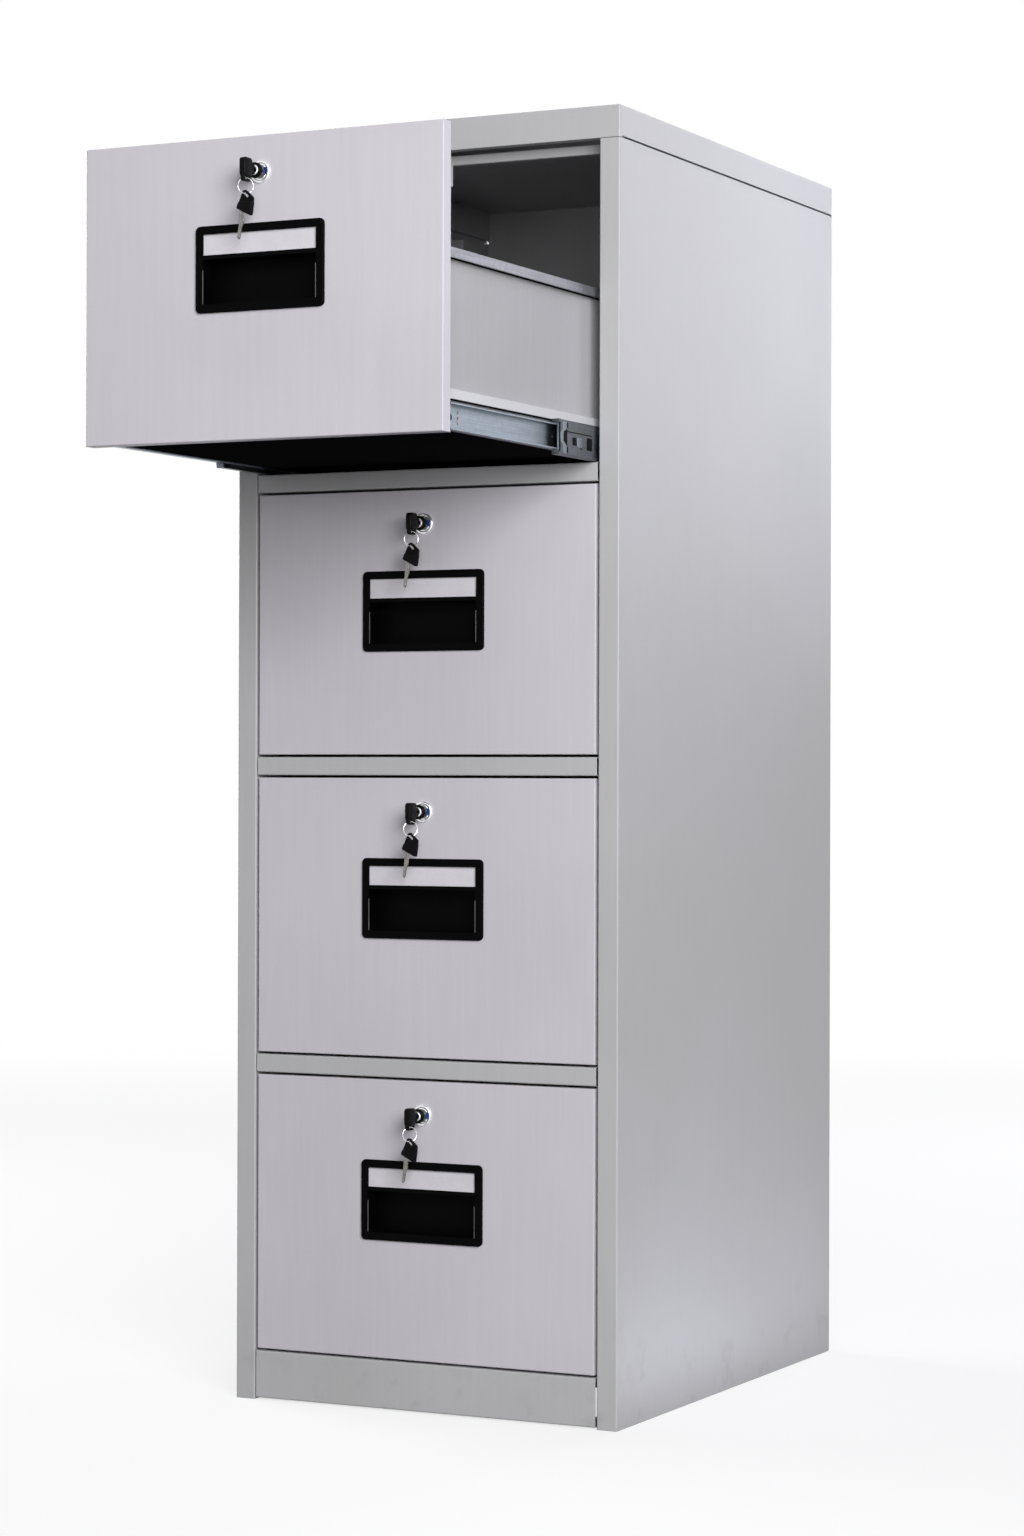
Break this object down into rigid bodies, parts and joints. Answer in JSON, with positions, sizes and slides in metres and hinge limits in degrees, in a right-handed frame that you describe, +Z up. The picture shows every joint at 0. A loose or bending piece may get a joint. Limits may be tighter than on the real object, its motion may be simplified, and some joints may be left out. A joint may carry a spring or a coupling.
{
  "type": "filing cabinet",
  "caption": "Tall narrow sheet-steel filing cabinet with lockable drawers on ball slides, recessed label handles and keys, the top drawer standing open.",
  "frame": {"origin": "middle of the cabinet's footprint, on the floor", "axes": "+Z up, -Y out of the drawer fronts, +X to the right of someone facing them"},
  "size_m": [0.442, 0.9516, 1.33],
  "materials": {
    "painted_body": "semi-gloss powder coat",
    "painted_front": "semi-gloss powder coat",
    "painted_tray": "semi-gloss powder coat",
    "black_plastic": "satin",
    "label_card": "matte card",
    "zinc_slide": "bright zinc",
    "chrome": "polished",
    "plug_metal": "plated",
    "key_plastic": "gloss",
    "wire": "nickel wire"
  },
  "bodies": {
    "cabinet": {"side_panel_left": "painted_body", "side_panel_right": "painted_body", "back_panel": "painted_body", "top_cap": "painted_body", "bottom_panel": "painted_body", "floor_brace": "painted_body", "base_rail": "painted_body", "top_rail": "painted_body", "cross_rail_1": "painted_body", "cross_rail_2": "painted_body", "cross_rail_3": "painted_body", "slide_posts_left": "painted_body", "slide_posts_right": "painted_body", "outer_slides_left": "zinc_slide", "outer_slides_right": "zinc_slide", "slide_screws": "zinc_slide"},
    "middle_slides_1": {"drawer_1_middle_slides": "zinc_slide"},
    "drawer_1": {"drawer_1_front": "painted_front", "drawer_1_tray": "painted_tray", "drawer_1_handle": "black_plastic", "drawer_1_label": "label_card", "drawer_1_inner_slides": "zinc_slide", "drawer_1_lock_case": "chrome"},
    "lock_1": {"drawer_1_lock_plug": "plug_metal", "drawer_1_key": "key_plastic"},
    "ring_1": {"drawer_1_key_ring": "wire"},
    "spare_key_1": {"drawer_1_spare_key": "key_plastic"},
    "middle_slides_2": {"drawer_2_middle_slides": "zinc_slide"},
    "drawer_2": {"drawer_2_front": "painted_front", "drawer_2_tray": "painted_tray", "drawer_2_handle": "black_plastic", "drawer_2_label": "label_card", "drawer_2_inner_slides": "zinc_slide", "drawer_2_lock_case": "chrome"},
    "lock_2": {"drawer_2_lock_plug": "plug_metal", "drawer_2_key": "key_plastic"},
    "ring_2": {"drawer_2_key_ring": "wire"},
    "spare_key_2": {"drawer_2_spare_key": "key_plastic"},
    "middle_slides_3": {"drawer_3_middle_slides": "zinc_slide"},
    "drawer_3": {"drawer_3_front": "painted_front", "drawer_3_tray": "painted_tray", "drawer_3_handle": "black_plastic", "drawer_3_label": "label_card", "drawer_3_inner_slides": "zinc_slide", "drawer_3_lock_case": "chrome"},
    "lock_3": {"drawer_3_lock_plug": "plug_metal", "drawer_3_key": "key_plastic"},
    "ring_3": {"drawer_3_key_ring": "wire"},
    "spare_key_3": {"drawer_3_spare_key": "key_plastic"},
    "middle_slides_4": {"drawer_4_middle_slides": "zinc_slide"},
    "drawer_4": {"drawer_4_front": "painted_front", "drawer_4_tray": "painted_tray", "drawer_4_handle": "black_plastic", "drawer_4_label": "label_card", "drawer_4_inner_slides": "zinc_slide", "drawer_4_lock_case": "chrome"},
    "lock_4": {"drawer_4_lock_plug": "plug_metal", "drawer_4_key": "key_plastic"},
    "ring_4": {"drawer_4_key_ring": "wire"},
    "spare_key_4": {"drawer_4_spare_key": "key_plastic"}
  },
  "joints": [
    {"name": "middle_1_slide", "type": "slide", "parent": "cabinet", "child": "middle_slides_1", "axis": [0, -1, 0], "range_m": [-0.114, 0.136]},
    {"name": "drawer_1_slide", "type": "slide", "parent": "middle_slides_1", "child": "drawer_1", "axis": [0, -1, 0], "range_m": [-0.219, 0.031]},
    {"name": "lock_1_turn", "type": "hinge", "parent": "drawer_1", "child": "lock_1", "pos_m": [0, -0.623, 1.2274], "axis": [0, 1, 0], "range_deg": [0, 90]},
    {"name": "ring_1_swing", "type": "hinge", "parent": "lock_1", "child": "ring_1", "pos_m": [0, -0.65035, 1.2177], "axis": [1, 0, 0], "range_deg": [-20, 20]},
    {"name": "spare_key_1_swing", "type": "hinge", "parent": "ring_1", "child": "spare_key_1", "pos_m": [0, -0.65035, 1.2027], "axis": [0.7071, 0.7071, 0], "range_deg": [-15, 15]},
    {"name": "middle_2_slide", "type": "slide", "parent": "cabinet", "child": "middle_slides_2", "axis": [0, -1, 0], "range_m": [0, 0.25]},
    {"name": "drawer_2_slide", "type": "slide", "parent": "middle_slides_2", "child": "drawer_2", "axis": [0, -1, 0], "range_m": [0, 0.25]},
    {"name": "lock_2_turn", "type": "hinge", "parent": "drawer_2", "child": "lock_2", "pos_m": [0, -0.29, 0.9154], "axis": [0, 1, 0], "range_deg": [0, 90]},
    {"name": "ring_2_swing", "type": "hinge", "parent": "lock_2", "child": "ring_2", "pos_m": [0, -0.31735, 0.9057], "axis": [1, 0, 0], "range_deg": [-20, 20]},
    {"name": "spare_key_2_swing", "type": "hinge", "parent": "ring_2", "child": "spare_key_2", "pos_m": [0, -0.31735, 0.8907], "axis": [0.7071, 0.7071, 0], "range_deg": [-15, 15]},
    {"name": "middle_3_slide", "type": "slide", "parent": "cabinet", "child": "middle_slides_3", "axis": [0, -1, 0], "range_m": [0, 0.25]},
    {"name": "drawer_3_slide", "type": "slide", "parent": "middle_slides_3", "child": "drawer_3", "axis": [0, -1, 0], "range_m": [0, 0.25]},
    {"name": "lock_3_turn", "type": "hinge", "parent": "drawer_3", "child": "lock_3", "pos_m": [0, -0.29, 0.6189], "axis": [0, 1, 0], "range_deg": [0, 90]},
    {"name": "ring_3_swing", "type": "hinge", "parent": "lock_3", "child": "ring_3", "pos_m": [0, -0.31735, 0.6092], "axis": [1, 0, 0], "range_deg": [-20, 20]},
    {"name": "spare_key_3_swing", "type": "hinge", "parent": "ring_3", "child": "spare_key_3", "pos_m": [0, -0.31735, 0.5942], "axis": [0.7071, 0.7071, 0], "range_deg": [-15, 15]},
    {"name": "middle_4_slide", "type": "slide", "parent": "cabinet", "child": "middle_slides_4", "axis": [0, -1, 0], "range_m": [0, 0.25]},
    {"name": "drawer_4_slide", "type": "slide", "parent": "middle_slides_4", "child": "drawer_4", "axis": [0, -1, 0], "range_m": [0, 0.25]},
    {"name": "lock_4_turn", "type": "hinge", "parent": "drawer_4", "child": "lock_4", "pos_m": [0, -0.29, 0.3069], "axis": [0, 1, 0], "range_deg": [0, 90]},
    {"name": "ring_4_swing", "type": "hinge", "parent": "lock_4", "child": "ring_4", "pos_m": [0, -0.31735, 0.2972], "axis": [1, 0, 0], "range_deg": [-20, 20]},
    {"name": "spare_key_4_swing", "type": "hinge", "parent": "ring_4", "child": "spare_key_4", "pos_m": [0, -0.31735, 0.2822], "axis": [0.7071, 0.7071, 0], "range_deg": [-15, 15]}
  ]
}
